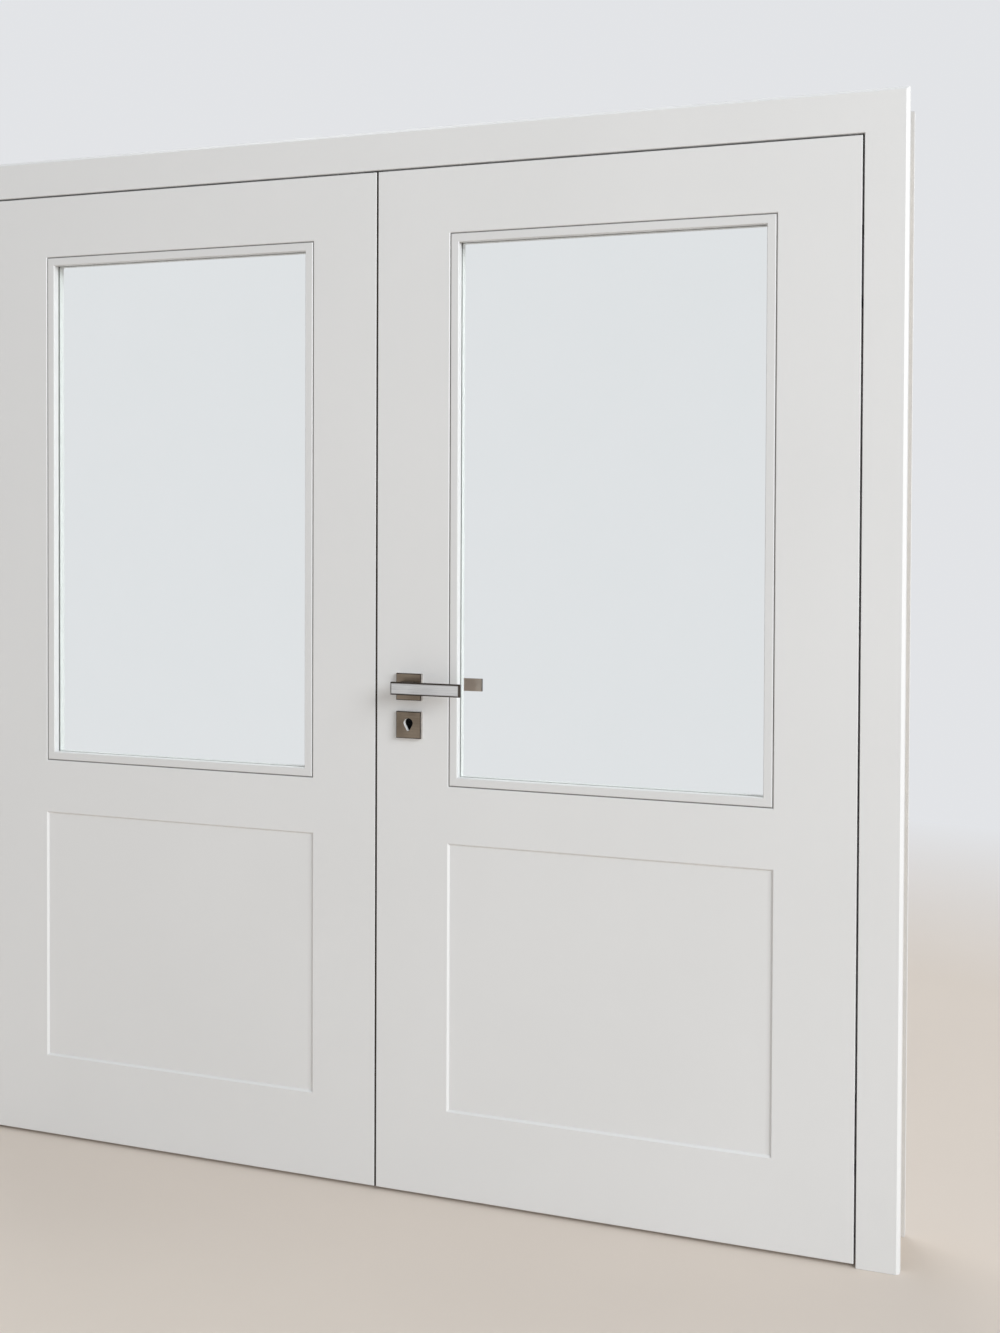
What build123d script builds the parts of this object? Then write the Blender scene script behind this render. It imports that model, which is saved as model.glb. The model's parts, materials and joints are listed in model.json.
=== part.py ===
# Double interior door: two glazed leaves flush in a lined frame, each on two concealed hinges.
# X runs along the wall, +Y into the wall, +Z up. The origin is on the floor, at the middle of
# the doorway, in the plane of the flush front. The passive leaf is at -X, the active leaf at +X,
# and both open towards -Y. All sizes are in millimetres.

import os

from build123d import *

# Leaves
ACTIVE_WIDTH = 977.0
PASSIVE_WIDTH = 962.0
LEAF_HEIGHT = 2097.0
LEAF_THICKNESS = 40.0
EDGE_EASE = 1.0

# Gaps round the leaves
SIDE_GAP = 4.0
MEETING_GAP = 4.0
HEAD_GAP = 4.0
FLOOR_GAP = 7.0
BACK_GAP = 4.0

# Frame
CASING_WIDTH = 80.0
CASING_THICKNESS = 20.0
CASING_BEVEL = 6.0
WALL_THICKNESS = 145.0
LINING_THICKNESS = 22.0
STOP_STEP = 13.0
BACK_REVEAL = 5.0
LINING_LET_IN = 3.0

# Rubber seals: each one sits in a groove and stands a clearance short of what it meets. The
# meeting seal's is larger, because the active leaf's back corner swings out past it.
SEAL_GROOVE_WIDTH = 3.6
SEAL_GROOVE_DEPTH = 7.0
SEAL_FIT = 0.1
SEAL_BULB_WIDTH = 8.0
SEAL_CLEARANCE = 0.3
MEETING_SEAL_CLEARANCE = 1.2
MEETING_SEAL_Y = 6.0

# Window in each leaf, measured to the middle of the groove round its beads
HINGE_STILE = 157.0
ACTIVE_MEETING_STILE = 160.0
PASSIVE_MEETING_STILE = 145.0
TOP_RAIL = 134.0
WINDOW_BOTTOM = 850.0
GROOVE_HALF = 2.5
BEAD_WIDTH = 18.0
BEAD_EASE = 1.0
GLASS_THICKNESS = 6.0
GASKET_THICKNESS = 2.0
GLASS_BITE = 12.0

# Lower panel, sunk into both faces of each leaf, as wide as the window
BOTTOM_RAIL = 179.0
MIDDLE_RAIL = 119.0
PANEL_SINK = 4.0

# Concealed hinges: two pivots, one each side of the gap, joined by a squared arm
HINGE_END = 240.0
HINGE_HALF_HEIGHT = 60.0
HINGE_TAB = 16.0
HINGE_TAB_THICKNESS = 3.0
HINGE_FRONT = 2.5
HINGE_BACK = 36.0
HINGE_DEPTH = 26.0
HINGE_WALL = 1.5
HINGE_END_WALL = 3.0
PIVOT_SPREAD = 22.0
PIVOT_Y = 8.0
PIN_RADIUS = 2.0
BOSS_RADIUS = 3.5
ARM_THICKNESS = 5.0
ARM_DEPTH = 23.5
PIN_CLEARANCE = 0.05
ARM_CLEARANCE = 0.4
RECEIVER_WALL = 8.0
RECEIVER_BACK = 44.0

# Lock in the meeting edge of the active leaf
LEVER_HEIGHT = 1050.0
KEY_DROP = 78.0
BACKSET = 74.5
CASE_ABOVE_LEVER = 37.0
CASE_HEIGHT = 165.0
CASE_THICKNESS = 16.0
CASE_BEHIND_LEVER = 28.0
CASE_FIT = 0.5
FOREND_HEIGHT = 235.0
FOREND_WIDTH = 20.0
FOREND_THICKNESS = 3.0
LATCH_HEIGHT = 26.0
LATCH_THICKNESS = 11.0
LATCH_LENGTH = 42.0
LATCH_THROW = 10.0
DEADBOLT_HEIGHT = 34.0
DEADBOLT_THICKNESS = 8.0
DEADBOLT_LENGTH = 46.0
DEADBOLT_THROW = 15.0
BOLT_CLEARANCE = 0.3
STRIKE_MARGIN = 3.0
STRIKE_SPARE_DEPTH = 4.0

# Lever handle, the same on both faces
ROSETTE_SIZE = 55.0
ROSETTE_THICKNESS = 10.0
ROSETTE_BEVEL = 1.5
LEVER_REACH = 48.0
LEVER_BAR_HEIGHT = 26.0
LEVER_BAR_THICKNESS = 9.0
LEVER_TIP = 127.0
LEVER_HEEL = 24.0
LEVER_BEVEL = 2.4
NECK_WIDTH = 30.0
NECK_HEIGHT = 22.0
NECK_FLOAT = 0.5
JOURNAL_RADIUS = 9.0
JOURNAL_CLEARANCE = 0.05
SPINDLE_SIZE = 8.0
SPINDLE_BITE = 20.0
FOLLOWER_RADIUS = 11.0
SPINDLE_HOLE_RADIUS = 12.0
KEYHOLE_HEAD_RADIUS = 10.0
KEYHOLE_FOOT_RADIUS = 4.0
KEYHOLE_RISE = 4.0
KEYHOLE_FALL = 8.0

# Sliding flush bolts in the meeting edge of the passive leaf
FLUSH_PLATE_HEIGHT = 180.0
FLUSH_PLATE_INSET = 30.0
FLUSH_BODY_DEPTH = 18.0
FLUSH_BODY_THICKNESS = 16.0
FLUSH_BODY_WALL = 2.0
FLUSH_ROD_RADIUS = 5.0
FLUSH_ROD_CLEARANCE = 0.3
FLUSH_THROW = 14.0
FLUSH_REST_BACK = 1.0
THUMB_HEIGHT = 24.0
THUMB_WIDTH = 7.0
THUMB_RECESS = 0.6
HEAD_STRIKE_SIZE = 40.0
HEAD_STRIKE_THICKNESS = 2.0
HEAD_STRIKE_HOLE = 14.0

# Places that follow from the sizes above
OPENING_HALF = (PASSIVE_WIDTH + MEETING_GAP + ACTIVE_WIDTH + 2 * SIDE_GAP) / 2
OPENING_TOP = FLOOR_GAP + LEAF_HEIGHT + HEAD_GAP
STOP_FACE = LEAF_THICKNESS + BACK_GAP
WALL_BACK = CASING_THICKNESS + WALL_THICKNESS
LINING_FRONT = CASING_THICKNESS - LINING_LET_IN
LINING_BACK = WALL_BACK + LINING_LET_IN
LEAF_TOP = FLOOR_GAP + LEAF_HEIGHT
WINDOW_TOP = LEAF_TOP - TOP_RAIL
PANEL_BOTTOM = FLOOR_GAP + BOTTOM_RAIL
PANEL_TOP = WINDOW_BOTTOM - MIDDLE_RAIL
LEAF_MIDDLE = LEAF_THICKNESS / 2
HINGE_GAP_MIDDLE = OPENING_HALF - SIDE_GAP / 2
ACTIVE_HINGE_EDGE = OPENING_HALF - SIDE_GAP
ACTIVE_MEETING_EDGE = ACTIVE_HINGE_EDGE - ACTIVE_WIDTH
PASSIVE_HINGE_EDGE = -OPENING_HALF + SIDE_GAP
PASSIVE_MEETING_EDGE = PASSIVE_HINGE_EDGE + PASSIVE_WIDTH
HINGE_HEIGHTS = [FLOOR_GAP + HINGE_END, LEAF_TOP - HINGE_END]
SPINDLE_X = ACTIVE_MEETING_EDGE + BACKSET
KEY_HEIGHT = LEVER_HEIGHT - KEY_DROP
CASE_TOP = LEVER_HEIGHT + CASE_ABOVE_LEVER
CASE_BOTTOM = CASE_TOP - CASE_HEIGHT
FOREND_MIDDLE = (CASE_TOP + CASE_BOTTOM) / 2
LATCH_Z = LEVER_HEIGHT
DEADBOLT_Z = KEY_HEIGHT
GLASS_FRONT = LEAF_MIDDLE - GLASS_THICKNESS / 2
BEAD_DEPTH = GLASS_FRONT - GASKET_THICKNESS
FRAME_REACH = 2 * CASING_WIDTH


def block(x, y, z):
    """A box that spans the given pair of places along each axis."""
    spans = [(min(pair), max(pair)) for pair in (x, y, z)]
    size = [high - low for low, high in spans]
    middle = [(low + high) / 2 for low, high in spans]
    return Pos(*middle) * Box(*size)


def around(middle, width):
    """The pair of places that lies half a width each side of a middle."""
    return (middle - width / 2, middle + width / 2)


def rod_along(axis, centre, radius, length):
    """A cylinder of the given length, centred on a point, along Y or Z."""
    turned = Rot(90, 0, 0) if axis == "Y" else Rot(0, 0, 0)
    return Pos(*centre) * turned * Cylinder(radius, length)


def facing(shape):
    """The same shape on the other side of the doorway."""
    return mirror(shape, Plane.YZ)


def to_back(shape):
    """The same shape on the other face of a leaf."""
    return mirror(shape, Plane.XZ.offset(-LEAF_MIDDLE))


def save(name, shape):
    """Writes one piece, or a group of like pieces, as its own file."""
    if isinstance(shape, (list, tuple)):
        shape = Compound(children=[piece.solid() for piece in shape])
    export_step(shape, f"parts/{name}.step")


def at_each_hinge(shape):
    """One copy of a shape at the height of each hinge."""
    return [Pos(0, 0, height) * shape for height in HINGE_HEIGHTS]


# Frame: profiles are drawn as (distance outwards from the doorway, depth into the wall)


def casing_front_profile():
    """A board with a bevel round its outer edge and a rebate for the lining in its back."""
    return Polygon(
        (0, EDGE_EASE),
        (EDGE_EASE, 0),
        (CASING_WIDTH - CASING_BEVEL, 0),
        (CASING_WIDTH, CASING_BEVEL),
        (CASING_WIDTH, CASING_THICKNESS),
        (LINING_THICKNESS, CASING_THICKNESS),
        (LINING_THICKNESS, LINING_FRONT),
        (0, LINING_FRONT),
        align=None,
    )


def casing_back_profile():
    inner = BACK_REVEAL - STOP_STEP
    outer = inner + CASING_WIDTH
    back = WALL_BACK + CASING_THICKNESS
    return Polygon(
        (inner, LINING_BACK),
        (LINING_THICKNESS, LINING_BACK),
        (LINING_THICKNESS, WALL_BACK),
        (outer, WALL_BACK),
        (outer, back - CASING_BEVEL),
        (outer - CASING_BEVEL, back),
        (inner + EDGE_EASE, back),
        (inner, back - EDGE_EASE),
        align=None,
    )


def board_profile(inner, outer, front, back):
    """A plain board's section, between two distances outwards and two depths into the wall."""
    middle = Pos((inner + outer) / 2, (front + back) / 2)
    return middle * Rectangle(outer - inner, back - front)


def lining_profile():
    return board_profile(0, LINING_THICKNESS, LINING_FRONT, LINING_BACK)


def stop_profile():
    """The board on the lining that the leaves close against, with a groove for its seal."""
    groove_middle = STOP_FACE + SEAL_GROOVE_DEPTH / 2
    groove = Pos(-STOP_STEP / 2, groove_middle) * Rectangle(SEAL_GROOVE_WIDTH, SEAL_GROOVE_DEPTH)
    return board_profile(-STOP_STEP, 0, STOP_FACE, LINING_BACK) - groove


def seal_profile(reach):
    """A flattened bulb that reaches out of a groove's mouth at (0, 0), and its foot in the groove."""
    bulb_half = reach / 2
    bulb = Pos(0, -bulb_half) * SlotOverall(SEAL_BULB_WIDTH, reach)
    foot_width = SEAL_GROOVE_WIDTH - 2 * SEAL_FIT
    foot_depth = SEAL_GROOVE_DEPTH - SEAL_FIT + bulb_half
    foot = Pos(0, foot_depth / 2 - bulb_half) * Rectangle(foot_width, foot_depth)
    return bulb + foot


def upright(profile):
    """Runs a frame profile up the +X side, to a mitre at the head."""
    plane = Plane(origin=(OPENING_HALF, 0, 0), x_dir=(1, 0, 0), z_dir=(0, 0, 1))
    run = extrude(plane * profile, OPENING_TOP + FRAME_REACH)
    side_of_mitre = Polygon(
        (OPENING_HALF - FRAME_REACH, OPENING_TOP - FRAME_REACH),
        (OPENING_HALF + FRAME_REACH, OPENING_TOP + FRAME_REACH),
        (OPENING_HALF + FRAME_REACH, -FRAME_REACH),
        (OPENING_HALF - FRAME_REACH, -FRAME_REACH),
        align=None,
    )
    return run & mitre_solid(side_of_mitre)


def crosspiece(profile):
    """Runs a frame profile across the head, to a mitre at each side."""
    plane = Plane(origin=(0, 0, OPENING_TOP), x_dir=(0, 0, 1), z_dir=(-1, 0, 0))
    run = extrude(plane * profile, OPENING_HALF + FRAME_REACH, both=True)
    between_mitres = Polygon(
        (-OPENING_HALF - FRAME_REACH, OPENING_TOP + FRAME_REACH),
        (OPENING_HALF + FRAME_REACH, OPENING_TOP + FRAME_REACH),
        (OPENING_HALF - FRAME_REACH, OPENING_TOP - FRAME_REACH),
        (-OPENING_HALF + FRAME_REACH, OPENING_TOP - FRAME_REACH),
        align=None,
    )
    return run & mitre_solid(between_mitres)


def mitre_solid(outline):
    """A thick plate that keeps what lies on one side of the mitres."""
    plane = Plane(origin=(0, 0, 0), x_dir=(1, 0, 0), z_dir=(0, -1, 0))
    depth = LINING_BACK + 2 * CASING_THICKNESS
    return extrude(plane * outline, depth, both=True)


def hinge_pocket():
    """The room that one half of a hinge takes on the -X side, back from the edge it is let into."""
    edge = -SIDE_GAP / 2
    body = block(
        (edge - HINGE_DEPTH, edge + SIDE_GAP),
        (HINGE_FRONT, HINGE_BACK),
        (-HINGE_HALF_HEIGHT, HINGE_HALF_HEIGHT),
    )
    reach = HINGE_HALF_HEIGHT + HINGE_TAB
    tabs = block(
        (edge - HINGE_TAB_THICKNESS, edge + SIDE_GAP),
        (HINGE_FRONT, HINGE_BACK),
        (-reach, reach),
    )
    return body + tabs


def hinge_pockets():
    """The pockets in the frame on the -X side."""
    return [Pos(-HINGE_GAP_MIDDLE, 0, 0) * pocket for pocket in at_each_hinge(hinge_pocket())]


def bolt_hole_in_head():
    """The hole in the head that the top flush bolt enters, below its strike plate's face."""
    top = OPENING_TOP + FLUSH_THROW
    return block(
        around(rod_x(), HEAD_STRIKE_HOLE),
        around(LEAF_MIDDLE, HEAD_STRIKE_HOLE),
        (OPENING_TOP - EDGE_EASE, top),
    )


def head_strike_blank():
    return block(
        around(rod_x(), HEAD_STRIKE_SIZE),
        around(LEAF_MIDDLE, FOREND_WIDTH),
        (OPENING_TOP, OPENING_TOP + HEAD_STRIKE_THICKNESS),
    )


def make_frame():
    for name, profile, takes_hardware in (
        ("casing_front", casing_front_profile(), True),
        ("lining", lining_profile(), True),
        ("stop", stop_profile(), False),
        ("casing_back", casing_back_profile(), False),
    ):
        side = facing(upright(profile))
        head = crosspiece(profile)
        if takes_hardware:
            side -= hinge_pockets()
            head -= [bolt_hole_in_head(), head_strike_blank()]
        save(f"{name}_left", side)
        save(f"{name}_right", facing(side))
        save(f"{name}_head", head)
    seal = Pos(-STOP_STEP / 2, STOP_FACE) * seal_profile(BACK_GAP - SEAL_CLEARANCE)
    save("frame_seal_left", facing(upright(seal)))
    save("frame_seal_right", upright(seal))
    save("frame_seal_head", crosspiece(seal))
    save("head_strike_plate", head_strike_blank() - bolt_hole_in_head())


# Hinges: drawn at the middle of the gap on the -X side, the leaf towards +X


def hinge_housing():
    """A cup let into an edge at -X, open towards the gap, with a tab at each end for its screws."""
    edge = -SIDE_GAP / 2
    pocket = block(
        (edge - HINGE_DEPTH, edge),
        (HINGE_FRONT, HINGE_BACK),
        (-HINGE_HALF_HEIGHT, HINGE_HALF_HEIGHT),
    )
    inside = block(
        (edge - HINGE_DEPTH + HINGE_WALL, edge),
        (HINGE_FRONT + HINGE_WALL, HINGE_BACK - HINGE_WALL),
        around(0, 2 * (HINGE_HALF_HEIGHT - HINGE_END_WALL)),
    )
    reach = HINGE_HALF_HEIGHT + HINGE_TAB
    tabs = block(
        (edge - HINGE_TAB_THICKNESS, edge),
        (HINGE_FRONT, HINGE_BACK),
        (-reach, reach),
    )
    pin_hole = rod_along(
        "Z", (-PIVOT_SPREAD, PIVOT_Y, 0), PIN_RADIUS + PIN_CLEARANCE, 2 * HINGE_HALF_HEIGHT
    )
    return pocket + tabs - inside - pin_hole


def hinge_pin():
    return rod_along("Z", (-PIVOT_SPREAD, PIVOT_Y, 0), PIN_RADIUS, 2 * HINGE_HALF_HEIGHT)


def hinge_arm():
    """A squared link: a leg back from each pivot, and a bar across behind the gap."""
    height = 2 * (HINGE_HALF_HEIGHT - HINGE_END_WALL - ARM_CLEARANCE)
    bar_middle = PIVOT_Y + ARM_DEPTH
    outline = Pos(0, bar_middle) * Rectangle(2 * PIVOT_SPREAD + ARM_THICKNESS, ARM_THICKNESS)
    for side in (-1, 1):
        leg = Pos(side * PIVOT_SPREAD, PIVOT_Y + ARM_DEPTH / 2)
        outline += leg * Rectangle(ARM_THICKNESS, ARM_DEPTH)
        outline += Pos(side * PIVOT_SPREAD, PIVOT_Y) * Circle(BOSS_RADIUS)
    for side in (-1, 1):
        outline -= Pos(side * PIVOT_SPREAD, PIVOT_Y) * Circle(PIN_RADIUS + PIN_CLEARANCE)
    return extrude(outline, height / 2, both=True)


def hinge_receiver():
    """A block behind the lining that backs the deep end of the frame's hinge cup."""
    edge = -SIDE_GAP / 2
    reach = HINGE_HALF_HEIGHT + HINGE_TAB
    solid = block(
        (edge - HINGE_DEPTH - RECEIVER_WALL, edge - LINING_THICKNESS),
        (CASING_THICKNESS, RECEIVER_BACK),
        (-reach, reach),
    )
    return solid - hinge_pocket()


def make_hinges():
    own_sides = (
        ("hinge_receivers", hinge_receiver()),
        ("hinge_cups_frame", hinge_housing()),
        ("hinge_pins_frame", hinge_pin()),
        ("hinge_arms", hinge_arm()),
        ("hinge_pins_leaf", facing(hinge_pin())),
        ("hinge_cups_leaf", facing(hinge_housing())),
    )
    for name, shape in own_sides:
        left = [Pos(-HINGE_GAP_MIDDLE, 0, 0) * copy for copy in at_each_hinge(shape)]
        save(f"{name}_left", left)
        save(f"{name}_right", [facing(piece) for piece in left])


# Leaves: side is -1 for the passive leaf and +1 for the active leaf


def hinge_edge(side):
    return side * (OPENING_HALF - SIDE_GAP)


def meeting_edge(side):
    return ACTIVE_MEETING_EDGE if side > 0 else PASSIVE_MEETING_EDGE


def window_span(side):
    """Where the groove round the window runs, along X."""
    meeting_stile = ACTIVE_MEETING_STILE if side > 0 else PASSIVE_MEETING_STILE
    return (hinge_edge(side) - side * HINGE_STILE, meeting_edge(side) + side * meeting_stile)


def rectangle_on_front(side, bottom, top, grow):
    """An upright rectangle in the plane of the leaf's front, as wide as the window plus grow."""
    outer, inner = window_span(side)
    middle = ((outer + inner) / 2, 0, (bottom + top) / 2)
    plane = Plane(origin=middle, x_dir=(1, 0, 0), z_dir=(0, -1, 0))
    return plane * Rectangle(abs(outer - inner) + 2 * grow, top - bottom + 2 * grow)


def window_ring(side, inset_outer, inset_inner, near, far):
    """A flat ring, inset from the window's outline, between two depths from the front face."""
    outline = rectangle_on_front(side, WINDOW_BOTTOM, WINDOW_TOP, -inset_outer)
    hole = rectangle_on_front(side, WINDOW_BOTTOM, WINDOW_TOP, -inset_inner)
    return Pos(0, near, 0) * extrude(outline - hole, -(far - near))


def bevelled_recess(side, bottom, top, grow, depth):
    """A recess in the front face whose four walls slope in at 45 degrees."""
    mouth = rectangle_on_front(side, bottom, top, grow)
    return extrude(mouth, -depth, taper=45)


def slab_blank(side):
    """The leaf before its hardware is let in."""
    slab = block(
        (hinge_edge(side), meeting_edge(side)), (0, LEAF_THICKNESS), (FLOOR_GAP, LEAF_TOP)
    )
    faces = slab.faces().sort_by(Axis.Y)
    slab = chamfer(faces[0].edges() + faces[-1].edges(), EDGE_EASE)
    window = block(window_span(side), (0, LEAF_THICKNESS), (WINDOW_BOTTOM, WINDOW_TOP))
    groove = bevelled_recess(side, WINDOW_BOTTOM, WINDOW_TOP, GROOVE_HALF, GROOVE_HALF)
    panel = bevelled_recess(side, PANEL_BOTTOM, PANEL_TOP, GROOVE_HALF, PANEL_SINK)
    slab -= [window, groove, to_back(groove), panel, to_back(panel)]
    pockets = [facing(pocket) for pocket in at_each_hinge(hinge_pocket())]
    pockets = [Pos(-HINGE_GAP_MIDDLE, 0, 0) * pocket for pocket in pockets]
    if side > 0:
        pockets = [facing(pocket) for pocket in pockets]
    return slab - pockets


def bead_frame(side):
    """The front bead: a mitred and glued frame that holds the glass, with eased edges."""
    bead = window_ring(side, 0, BEAD_WIDTH, 0, BEAD_DEPTH)
    outline = rectangle_on_front(side, WINDOW_BOTTOM, WINDOW_TOP, 0)
    kept = extrude(outline, -2 * GROOVE_HALF) - bevelled_groove_walls(side)
    rest = block(
        (window_span(side)[0], window_span(side)[1]),
        (2 * GROOVE_HALF, LEAF_THICKNESS),
        (WINDOW_BOTTOM, WINDOW_TOP),
    )
    bead &= kept + rest
    inner_grow = BEAD_EASE - BEAD_WIDTH
    inner_mouth = bevelled_recess(side, WINDOW_BOTTOM, WINDOW_TOP, inner_grow, BEAD_EASE)
    return bead - inner_mouth


def bevelled_groove_walls(side):
    """What the groove takes off the outside of the bead."""
    outline = rectangle_on_front(side, WINDOW_BOTTOM, WINDOW_TOP, 0)
    block_in = extrude(outline, -GROOVE_HALF)
    narrow = rectangle_on_front(side, WINDOW_BOTTOM, WINDOW_TOP, -GROOVE_HALF)
    spread = extrude(narrow, -GROOVE_HALF, taper=-45)
    return block_in - spread


def make_glazing(leaf, side):
    bead = bead_frame(side)
    save(f"{leaf}_bead_front", bead)
    save(f"{leaf}_bead_back", to_back(bead))
    bite = BEAD_WIDTH - GLASS_BITE
    gasket = window_ring(side, bite, BEAD_WIDTH, BEAD_DEPTH, GLASS_FRONT)
    save(f"{leaf}_gasket_front", gasket)
    save(f"{leaf}_gasket_back", to_back(gasket))
    sheet = rectangle_on_front(side, WINDOW_BOTTOM, WINDOW_TOP, -bite)
    glass = Pos(0, GLASS_FRONT, 0) * extrude(sheet, -GLASS_THICKNESS)
    save(f"{leaf}_glass", glass)


# Lock, handle and strike


def keyhole_cutter(grow, near, far):
    """A keyhole between two depths: a round head that tapers to a smaller foot."""
    plane = Plane(origin=(SPINDLE_X, near, KEY_HEIGHT), x_dir=(1, 0, 0), z_dir=(0, -1, 0))
    head = Pos(0, KEYHOLE_RISE) * Circle(KEYHOLE_HEAD_RADIUS + grow)
    foot = Pos(0, -KEYHOLE_FALL) * Circle(KEYHOLE_FOOT_RADIUS + grow)
    outline = make_hull((head + foot).edges())
    return extrude(plane * outline, -(far - near))


def bolt_block(height, thickness, z, near, far, grow=0.0):
    """A bolt's bar along X, between two distances in from the active leaf's meeting edge."""
    return block(
        (ACTIVE_MEETING_EDGE + near, ACTIVE_MEETING_EDGE + far),
        around(LEAF_MIDDLE, thickness + 2 * grow),
        around(z, height + 2 * grow),
    )


def lock_bolts():
    """Each bolt's height, thickness, middle, length and throw."""
    latch = (LATCH_HEIGHT, LATCH_THICKNESS, LATCH_Z, LATCH_LENGTH, LATCH_THROW)
    dead = (DEADBOLT_HEIGHT, DEADBOLT_THICKNESS, DEADBOLT_Z, DEADBOLT_LENGTH, DEADBOLT_THROW)
    return latch, dead


def bolt_ways():
    """The channels that the two bolts slide in."""
    return [
        bolt_block(height, thickness, z, 0, length + BOLT_CLEARANCE, BOLT_CLEARANCE)
        for height, thickness, z, length, throw in lock_bolts()
    ]


def forend():
    return block(
        (ACTIVE_MEETING_EDGE, ACTIVE_MEETING_EDGE + FOREND_THICKNESS),
        around(LEAF_MIDDLE, FOREND_WIDTH),
        around(FOREND_MIDDLE, FOREND_HEIGHT),
    )


def lock_case_blank(grow=0.0):
    return block(
        (ACTIVE_MEETING_EDGE + FOREND_THICKNESS, SPINDLE_X + CASE_BEHIND_LEVER + grow),
        around(LEAF_MIDDLE, CASE_THICKNESS + 2 * grow),
        (CASE_BOTTOM - grow, CASE_TOP + grow),
    )


def through_hole(radius):
    """A round hole on the lever's axis, through the whole leaf."""
    return rod_along("Y", (SPINDLE_X, LEAF_MIDDLE, LEVER_HEIGHT), radius, LEAF_THICKNESS)


def make_lock():
    follower_hole = through_hole(FOLLOWER_RADIUS + JOURNAL_CLEARANCE)
    keyway = keyhole_cutter(0, 0, LEAF_THICKNESS)
    save("lock_case", lock_case_blank() - bolt_ways() - [follower_hole, keyway])
    save("lock_forend", forend() - bolt_ways())
    latch, dead = [
        bolt_block(height, thickness, z, 0, length)
        for height, thickness, z, length, throw in lock_bolts()
    ]
    save("latch_bolt", chamfer(latch.faces().sort_by(Axis.X)[0].edges(), EDGE_EASE))
    save("dead_bolt", chamfer(dead.faces().sort_by(Axis.X)[0].edges(), EDGE_EASE))
    follower = rod_along(
        "Y", (SPINDLE_X, LEAF_MIDDLE, LEVER_HEIGHT), FOLLOWER_RADIUS, CASE_THICKNESS
    )
    save("lock_follower", follower - spindle())


def spindle():
    """The square bar that joins both levers through the follower."""
    journal_root = ROSETTE_THICKNESS + NECK_FLOAT
    length = LEAF_THICKNESS + 2 * (journal_root + SPINDLE_BITE)
    return block(
        around(SPINDLE_X, SPINDLE_SIZE),
        around(LEAF_MIDDLE, length),
        around(LEVER_HEIGHT, SPINDLE_SIZE),
    )


def lever_front():
    """A flat bar on a square neck, with a round journal that turns in the rosette."""
    bar = block(
        (SPINDLE_X - LEVER_HEEL, SPINDLE_X + LEVER_TIP),
        (-LEVER_REACH, -LEVER_REACH + LEVER_BAR_THICKNESS),
        around(LEVER_HEIGHT, LEVER_BAR_HEIGHT),
    )
    bar = chamfer(bar.faces().sort_by(Axis.Y)[0].edges(), LEVER_BEVEL)
    neck_end = -ROSETTE_THICKNESS - NECK_FLOAT
    neck = block(
        around(SPINDLE_X, NECK_WIDTH),
        (-LEVER_REACH + LEVER_BAR_THICKNESS, neck_end),
        around(LEVER_HEIGHT, NECK_HEIGHT),
    )
    journal_length = ROSETTE_THICKNESS + NECK_FLOAT
    journal_middle = (SPINDLE_X, -journal_length / 2, LEVER_HEIGHT)
    journal = rod_along("Y", journal_middle, JOURNAL_RADIUS, journal_length)
    return bar + neck + journal - spindle()


def rosette_blank(z):
    plate = block(
        around(SPINDLE_X, ROSETTE_SIZE), (-ROSETTE_THICKNESS, 0), around(z, ROSETTE_SIZE)
    )
    return chamfer(plate.faces().sort_by(Axis.Y)[0].edges(), ROSETTE_BEVEL)


def make_handle():
    journal_middle = (SPINDLE_X, -ROSETTE_THICKNESS / 2, LEVER_HEIGHT)
    bearing = rod_along(
        "Y", journal_middle, JOURNAL_RADIUS + JOURNAL_CLEARANCE, ROSETTE_THICKNESS
    )
    handle_rosette = rosette_blank(LEVER_HEIGHT) - bearing
    key_rosette = rosette_blank(KEY_HEIGHT) - keyhole_cutter(0, -ROSETTE_THICKNESS, 0)
    for name, shape in (
        ("lever", lever_front()),
        ("handle_rosette", handle_rosette),
        ("key_rosette", key_rosette),
    ):
        save(f"{name}_front", shape)
        save(f"{name}_back", to_back(shape))
    save("spindle", spindle())


def make_active_leaf():
    slab = slab_blank(1)
    spindle_hole = through_hole(SPINDLE_HOLE_RADIUS)
    keyway = keyhole_cutter(CASE_FIT, 0, LEAF_THICKNESS)
    slab -= [forend(), lock_case_blank(CASE_FIT), spindle_hole, keyway]
    save("active_slab", slab)
    make_glazing("active", 1)


def strike_blank():
    edge = PASSIVE_MEETING_EDGE
    return block(
        (edge - FOREND_THICKNESS, edge),
        around(LEAF_MIDDLE, FOREND_WIDTH),
        around(FOREND_MIDDLE, FOREND_HEIGHT),
    )


def strike_holes():
    """The pockets in the passive leaf that the latch and the deadbolt enter."""
    edge = PASSIVE_MEETING_EDGE
    return [
        block(
            (edge - throw - STRIKE_SPARE_DEPTH, edge + EDGE_EASE),
            around(LEAF_MIDDLE, thickness + 2 * STRIKE_MARGIN),
            around(z, height + 2 * STRIKE_MARGIN),
        )
        for height, thickness, z, length, throw in lock_bolts()
    ]


# Flush bolts: the lower one is the upper one turned over about the leaf's mid height


def rod_x():
    return PASSIVE_MEETING_EDGE - FOREND_THICKNESS - FLUSH_BODY_DEPTH / 2


def turned_over(shape):
    return mirror(shape, Plane.XY.offset(FLOOR_GAP + LEAF_HEIGHT / 2))


def flush_plate_span():
    top = LEAF_TOP - FLUSH_PLATE_INSET
    return (top - FLUSH_PLATE_HEIGHT, top)


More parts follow.
